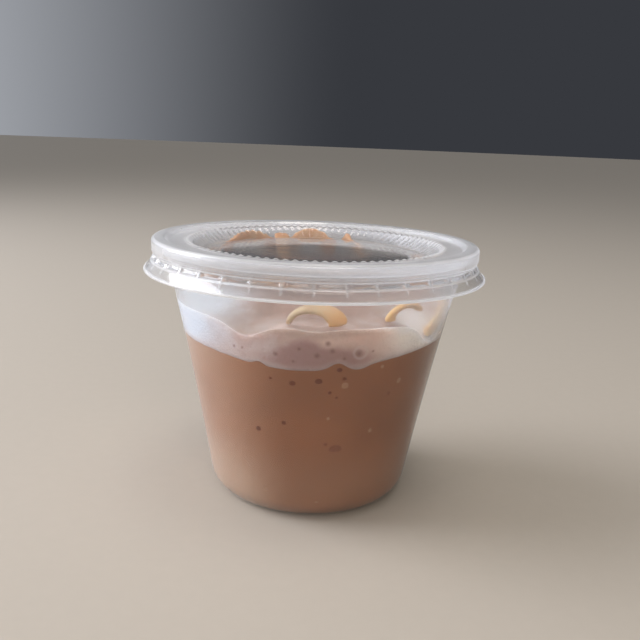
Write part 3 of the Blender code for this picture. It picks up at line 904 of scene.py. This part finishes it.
def thermoformed_clear_lid():
    """Clear sheet: almost unseen face on, cloudy where sight runs along it, with sharp
    reflections on every bend and a slight waviness from cooling."""
    material, tree, place = blank("thermoformed_clear_polypropylene")
    waves = add(
        tree, "ShaderNodeTexNoise", {"Vector": place, "Scale": 1 / LID_RIPPLE, "Detail": 2.0}
    ).outputs["Fac"]
    # stored whiteness of the sheet, partly a painted highlight
    whiteness_here = add(tree, "ShaderNodeAttribute", attribute_name="white_and_highlight").outputs["Fac"]
    depth = add(tree, "ShaderNodeMapRange", {
        "Value": whiteness_here, "To Min": LID_DEPTH, "To Max": BEND_DEPTH,
    }).outputs[0]
    bump = add(tree, "ShaderNodeBump", {"Height": waves, "Strength": 0.15, "Distance": 0.0004})
    cloudy_sheet(tree, LID_TINT, 0.09, depth, bump.outputs[0])
    return material


def skirt_radius(z):
    """Outer radius of the lid's skirt, which curves out from the waist to the hem."""
    fall = (LID_WAIST_Z - z) / (LID_WAIST_Z - HEM_Z)
    waist_r = LID_BEAD_R - LID_WAIST_IN
    return waist_r + (HEM_R - waist_r) * fall ** 1.5


def lid_side(inset, panel):
    """Upper and outer side of the lid moved in by inset, from the panel to above the hem."""
    bead_in = LID_BEAD_R - LID_BEAD_W
    shelf_z = LID_TOP_Z - LID_SHELF_DROP - inset
    panel_r = LID_PANEL_R + LID_LEAN * inset
    panel_z = LID_PANEL_Z - inset
    recess_r = LID_RECESS_R + LID_LEAN * inset
    climbs = (0.0, 0.2, 0.4, 0.6, 0.8, 1.0)
    recess = [
        (panel_r + (recess_r - panel_r) * t, panel_z + (shelf_z - panel_z) * t) for t in climbs
    ]
    shelf = [
        (recess_r + 0.0005, shelf_z), (recess_r + FLUTE_REACH, shelf_z),
        (bead_in - LID_SHELF_DROP + inset, shelf_z), (bead_in + inset, LID_TOP_Z - inset),
        (LID_BEAD_R - LID_BEAD_ROUND, LID_TOP_Z - inset),
    ]
    bead = arc(
        LID_BEAD_R - LID_BEAD_ROUND, LID_TOP_Z - LID_BEAD_ROUND, LID_BEAD_ROUND - inset,
        90.0, 0.0, 10,
    )
    wall = [
        (LID_BEAD_R - inset, LID_TOP_Z - LID_BEAD_ROUND - 0.0002),
        (LID_BEAD_R - inset, LID_WAIST_Z + LID_WAIST_IN),
        (skirt_radius(LID_WAIST_Z) - inset, LID_WAIST_Z),
        (skirt_radius(LUG_TOP_Z + 0.0001) - inset, LUG_TOP_Z + 0.0001),
    ]
    levels = [
        LUG_TOP_Z, LUG_TOP_Z - LUG_EDGE, LUG_TOP_Z - 2 * LUG_EDGE,
        (LUG_TOP_Z + LUG_BOTTOM_Z) / 2,
        LUG_BOTTOM_Z + 2 * LUG_EDGE, LUG_BOTTOM_Z + LUG_EDGE, LUG_BOTTOM_Z,
    ] + spaced(LUG_BOTTOM_Z, HEM_Z + HEM_ROLL, 7)
    skirt = [(skirt_radius(z) - inset, z) for z in levels]
    top = eased(panel + recess + shelf, LID_BEND)
    return top + bead[1:] + eased(wall, 0.0002) + skirt


def between_lugs(azimuth):
    """Share of the pitch from an azimuth to the middle of the nearest rib between two lugs."""
    across = (azimuth / 360.0 * LUG_COUNT) % 1.0
    return min(across, 1.0 - across)


def press(radius, z, azimuth):
    """Flutes in the recess wall, and lugs in the skirt with a narrow rib between two."""
    climb = (z - LID_PANEL_Z) / (LID_TOP_Z - LID_SHELF_DROP - LID_PANEL_Z)
    if LID_PANEL_R < radius < LID_RECESS_R + FLUTE_REACH + 0.0002 and climb > 0.0:
        wave = math.cos(math.radians(azimuth * FLUTES))
        radius += FLUTE_DEPTH * ramp(climb, 0.0, 0.6) * wave
        rise = ramp(climb, 0.6, 0.95)
        rise *= 1.0 - ramp(radius, LID_RECESS_R, LID_RECESS_R + FLUTE_REACH)
        z += FLUTE_RISE * rise * (0.5 + 0.5 * wave)
    elif radius > LID_BEAD_R - LID_BEAD_W and z < LUG_TOP_Z:
        band = ramp(z, LUG_BOTTOM_Z - 1e-5, LUG_BOTTOM_Z + 2 * LUG_EDGE)
        band *= 1.0 - ramp(z, LUG_TOP_Z - 2 * LUG_EDGE, LUG_TOP_Z)
        radius -= LUG_DEPTH * ramp(between_lugs(azimuth), *LUG_SIDE) * band
    return radius, z


def white_and_highlight(radius, z, azimuth):
    """How white the sheet is: a little where it stayed thick, and most where it was bent sharply.
    On the flutes' tops this white is a painted highlight, and at the bead's upper edge, the lugs'
    edges and the hem it is partly one. The recess wall and its flutes are clearer at the back;
    for the flutes' tops that is painted shade."""
    back = ramp(abs(azimuth), 90.0, 140.0)
    skirt = SKIRT_WHITE * ramp(radius, LID_PANEL_R, LID_PANEL_R + 0.0004)
    wall = RECESS_WHITE * (1.0 - RECESS_CLEARER * back)
    wall *= ramp(radius, LID_PANEL_R - 0.0002, LID_PANEL_R + 0.0006)
    wall *= 1.0 - ramp(radius, LID_RECESS_R, LID_RECESS_R + 0.0008)
    thick = THICK_WHITE * ramp(z, LID_WAIST_Z, LID_WAIST_Z + 0.0006)
    thick *= ramp(radius, LID_RECESS_R - 0.0003, LID_RECESS_R + 0.0007)
    edge = EDGE_WHITE * ramp(radius, LID_BEAD_R - 0.0010, LID_BEAD_R - 0.0003)
    edge *= ramp(z, LID_TOP_Z - 0.0009, LID_TOP_Z - 0.0003)
    rib = RIB_WHITE * (1.0 - ramp(between_lugs(azimuth), *RIB_SIDE))
    rib *= ramp(z, LUG_BOTTOM_Z - 0.0013, LUG_BOTTOM_Z - 0.0008)
    rib *= 1.0 - ramp(z, LUG_TOP_Z + 0.0001, LUG_TOP_Z + 0.0005)
    lug = LUG_WHITE * max(
        1.0 - ramp(abs(z - level), 0.00008, 0.00022) for level in (LUG_TOP_Z, LUG_BOTTOM_Z)
    )
    if radius < LID_BEAD_R - 0.0020:
        rib = lug = 0.0
    hem = HEM_WHITE * (1.0 - ramp(z, HEM_Z + 0.00035, HEM_Z + 0.00065))
    flute = FLUTE_WHITE * (1.0 - FLUTE_CLEARER * back)
    flute *= 0.5 + 0.5 * math.cos(math.radians(azimuth * FLUTES))
    flute *= ramp(z, LID_TOP_Z - 0.0018, LID_TOP_Z - 0.0011)
    flute *= 1.0 - ramp(radius, LID_RECESS_R, LID_RECESS_R + 0.0010)
    return max(skirt, wall, thick, edge, rib, lug, hem, flute)


def make_lid():
    """The sheet's upper side, the roll of its hem, and back along its lower side."""
    plateau_z = LID_PANEL_Z + LID_PANEL_STEP
    upper = lid_side(0.0, [
        (0.0, plateau_z), (0.5 * LID_PLATEAU_R, plateau_z), (LID_PLATEAU_R, plateau_z),
        (LID_PLATEAU_R + LID_PANEL_STEP, LID_PANEL_Z),
    ])
    lower_z = LID_PANEL_Z - LID_SHEET
    lower = lid_side(LID_SHEET, [(0.0, lower_z), (0.5 * LID_PLATEAU_R, lower_z)])
    hem = arc(HEM_R - HEM_ROLL, HEM_Z + HEM_ROLL, HEM_ROLL, 30.0, -210.0, 10)
    bm = turned(upper + hem + lower[::-1], LID_COLUMNS, press)
    piece = finish_mesh("formed_lid", bm, thermoformed_clear_lid(), sharp=70.0)
    mark(piece, "white_and_highlight", white_and_highlight)
    return piece


lid = make_lid()
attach(lid, "root")
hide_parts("lid")

# ------------------------------------------------------------------- Studio
# A pale matt table top in a dim grey room, one large soft window light from the left, a small
# soft one above and a weak one in front. The camera stands where the photograph's did.

FLOOR = "#BDB4A7"
FLOOR_TOOTH = "#A9A195"
FLOOR_TOOTH_SHOWS = 0.08
FLOOR_GRAIN = 0.0030                # size of the board's tooth
FLOOR_R = 6.0
CAMERA_AWAY = 0.1756817
CAMERA_UP = 0.0831896
CAMERA_PITCH = 0.2386
CAMERA_YAW = 0.0096
CAMERA_ROLL = 0.0392
CAMERA_FOCUS = 757.0                # focal length in pixels of a 640 pixel frame
FRAME_PIXELS = 640.0

LIGHTS = (
    # name, azimuth, distance, height, width, height of the light, watts, colour
    ("window", -97.0, 0.75, 0.28, 0.48, 1.00, 9.5, "#F4F6FF"),
    ("ceiling", 60.0, 0.10, 0.75, 0.30, 0.30, 1.2, "#FFF8F0"),
    ("room", 6.0, 0.80, 0.50, 0.60, 0.60, 2.8, "#FFF6EC"),
)
AIM_Z = 0.035                       # height that the lights point at
ROOM_DIM = "#37393E"
ROOM_LIT = (
    # axis; where along it the walls start to be lit and are fully lit; colour
    ("Z", 0.15, 0.90, "#949290"),
    ("X", 0.05, -0.95, "#E2E6EE"),
)


def matt_table():
    """Matt painted board: pale, even, with a barely visible tooth."""
    material, tree, place = blank("matt_painted_board")
    tooth = add(
        tree, "ShaderNodeTexNoise", {"Vector": place, "Scale": 1 / FLOOR_GRAIN, "Detail": 3.0}
    ).outputs["Fac"]
    colour = lay_over(tree, tone(FLOOR), FLOOR_TOOTH, tooth, 0.7, 0.3, FLOOR_TOOTH_SHOWS)
    shader = add(tree, "ShaderNodeBsdfPrincipled", {"Base Color": colour, "Roughness": 0.7})
    add(tree, "ShaderNodeOutputMaterial", {"Surface": shader.outputs[0]})
    return material


def make_floor():
    bm = bmesh.new()
    bmesh.ops.create_circle(bm, cap_ends=True, segments=96, radius=FLOOR_R)
    mesh = bpy.data.meshes.new("table_top")
    bm.to_mesh(mesh)
    bm.free()
    mesh.materials.append(matt_table())
    floor = bpy.data.objects.new("table_top", mesh)
    bpy.context.scene.collection.objects.link(floor)


def make_lights():
    for name, azimuth, distance, height, width, tall, watts, colour in LIGHTS:
        lamp = bpy.data.lights.new(name, "AREA")
        lamp.shape = "RECTANGLE"
        lamp.size = width
        lamp.size_y = tall
        lamp.energy = watts
        lamp.color = tone(colour)[:3]
        item = bpy.data.objects.new(name, lamp)
        item.location = around(azimuth, distance, height)
        aim = Vector((0.0, 0.0, AIM_Z)) - item.location
        item.rotation_euler = aim.to_track_quat("-Z", "Y").to_euler()
        bpy.context.scene.collection.objects.link(item)


def make_room():
    """Grey room: dim at the height of the table, lighter towards the ceiling, and lightest at
    the wall on the left, around the window."""
    world = bpy.data.worlds.new("grey_room")
    world.use_nodes = True
    tree = world.node_tree
    tree.nodes.clear()
    sight = add(tree, "ShaderNodeTexCoord").outputs["Generated"]
    way = add(tree, "ShaderNodeSeparateXYZ", {0: sight}).outputs
    colour = tone(ROOM_DIM)
    for axis, start, full, lit in ROOM_LIT:
        colour = lay_over(tree, colour, lit, way[axis], full, start, fall="SMOOTHSTEP")
    light = add(tree, "ShaderNodeBackground", {"Color": colour, "Strength": 1.0})
    add(tree, "ShaderNodeOutputWorld", {"Surface": light.outputs[0]})
    bpy.context.scene.world = world


def make_camera():
    lens = bpy.data.cameras.new("camera")
    lens.sensor_width = 36.0
    lens.lens = lens.sensor_width * CAMERA_FOCUS / FRAME_PIXELS
    lens.clip_start = 0.001
    camera = bpy.data.objects.new("camera", lens)
    camera.matrix_world = (
        Matrix.Translation((0.0, -CAMERA_AWAY, CAMERA_UP))
        @ Matrix.Rotation(-CAMERA_YAW, 4, "Z")
        @ Matrix.Rotation(math.pi / 2.0 - CAMERA_PITCH, 4, "X")
        @ Matrix.Rotation(CAMERA_ROLL, 4, "Z")
    )
    bpy.context.scene.collection.objects.link(camera)
    bpy.context.scene.camera = camera


make_floor()
make_lights()
make_room()
make_camera()
bpy.context.scene.view_settings.view_transform = "Standard"
bpy.context.scene.cycles.transparent_max_bounces = 24   # light crosses many sheets here
